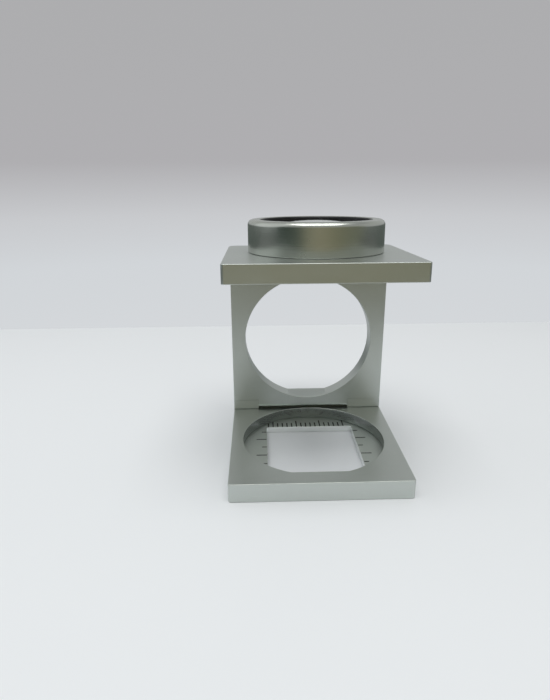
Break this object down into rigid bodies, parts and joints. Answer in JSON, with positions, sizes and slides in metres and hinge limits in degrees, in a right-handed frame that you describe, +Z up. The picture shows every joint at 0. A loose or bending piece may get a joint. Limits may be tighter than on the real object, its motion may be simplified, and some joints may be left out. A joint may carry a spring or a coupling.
{
  "type": "viewing loupe",
  "caption": "Folding viewing loupe: base plate with a graduated window, upright back plate and tilted lens plate with a round lens cell, joined by hinges.",
  "frame": {"origin": "on the plane the loupe stands on, under the middle of its whole extent", "axes": "+Z up from the work, +X along both hinge pins to the right seen from the open front, -Y towards the open front"},
  "size_m": [0.032, 0.0368, 0.0457],
  "materials": {
    "satin_alloy": "fine satin plated",
    "cell_metal": "turned and polished",
    "scale_metal": "fine satin",
    "pin_steel": "bright",
    "black_anodised": "black anodised",
    "lens_glass": "polished"
  },
  "bodies": {
    "base": {"base_plate": "satin_alloy", "scale_plate": "scale_metal", "lower_hinge_pin": "pin_steel"},
    "back_leaf": {"back_plate": "satin_alloy", "upper_hinge_pin": "pin_steel"},
    "lens_leaf": {"lens_plate": "satin_alloy", "lens_cell": "cell_metal", "eye_lens": "lens_glass", "lens_spacer": "black_anodised", "field_lens": "lens_glass", "retaining_ring": "black_anodised"}
  },
  "joints": [
    {"name": "base_hinge", "type": "hinge", "parent": "base", "child": "back_leaf", "pos_m": [0, 0.01252, 0.00465], "axis": [1, 0, 0], "range_deg": [0, 90]},
    {"name": "lens_hinge", "type": "hinge", "parent": "back_leaf", "child": "lens_leaf", "pos_m": [0, 0.01723, 0.03708], "axis": [-1, 0, 0], "range_deg": [0, 267.75]}
  ]
}
